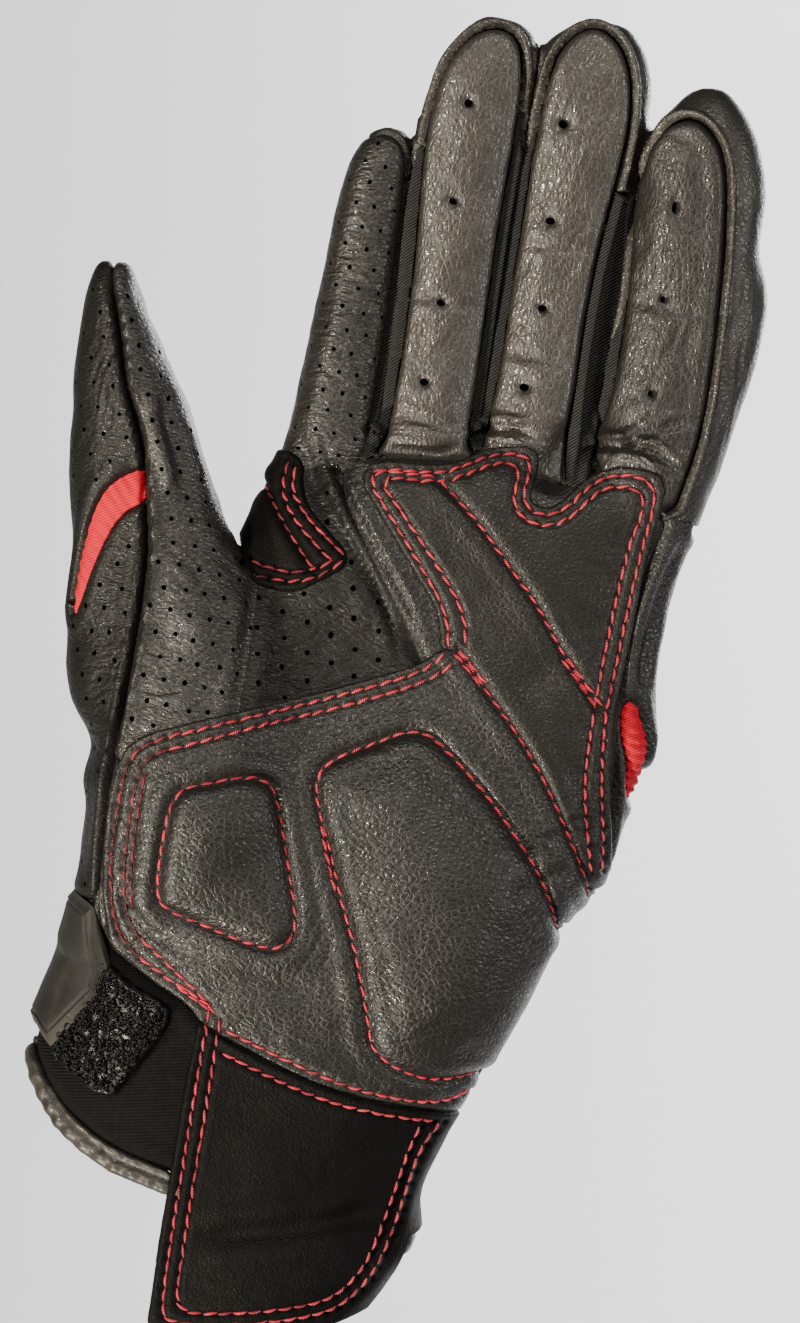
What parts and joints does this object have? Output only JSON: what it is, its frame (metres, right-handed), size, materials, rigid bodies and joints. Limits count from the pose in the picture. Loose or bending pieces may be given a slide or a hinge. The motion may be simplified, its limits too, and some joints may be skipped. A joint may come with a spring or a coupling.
{
  "type": "motorcycle glove",
  "caption": "Short-cuff left motorcycle glove of black leather, in its worn form, with stitched palm patches, padded palm and heel, stretch inserts and a strapped cuff.",
  "frame": {"origin": "in the mouth of the cuff, on the line of the middle finger, halfway between palm and back", "axes": "+Z along the fingers, -Y out of the palm, -X towards the thumb"},
  "size_m": [0.126, 0.0491, 0.2594],
  "materials": {
    "leather": "pebbled, satin",
    "perforated_leather": "perforated, satin",
    "patch_leather": "smooth, satin",
    "red_stretch": "ribbed stretch knit",
    "twill": "dull twill",
    "rubber": "matt moulded",
    "fastener": "rough loops"
  },
  "bodies": {
    "root": {"middle_front": "leather", "ring_front": "leather", "little_front": "leather", "index_back": "leather", "middle_back": "leather", "ring_back": "leather", "little_back": "leather", "palm_panel": "leather", "hand_back_panel": "leather", "cuff_back": "leather", "cuff_tab": "leather", "cuff_binding": "leather", "thenar_pad": "leather", "heel_pad": "leather", "index_front": "perforated_leather", "web_panel": "perforated_leather", "thumb_inner_panel": "perforated_leather", "thumb_tip_panel": "perforated_leather", "thumb_base_panel": "perforated_leather", "upper_palm_patch": "patch_leather", "lower_palm_patch": "patch_leather", "saddle_patch": "patch_leather", "wrist_strap": "patch_leather", "thumb_red_insert": "red_stretch", "side_red_insert": "red_stretch", "index_middle_fourchette": "twill", "middle_ring_fourchette": "twill", "ring_little_fourchette": "twill", "cuff_gusset": "twill", "strap_tab": "rubber", "hook_patch": "fastener"}
  },
  "joints": []
}
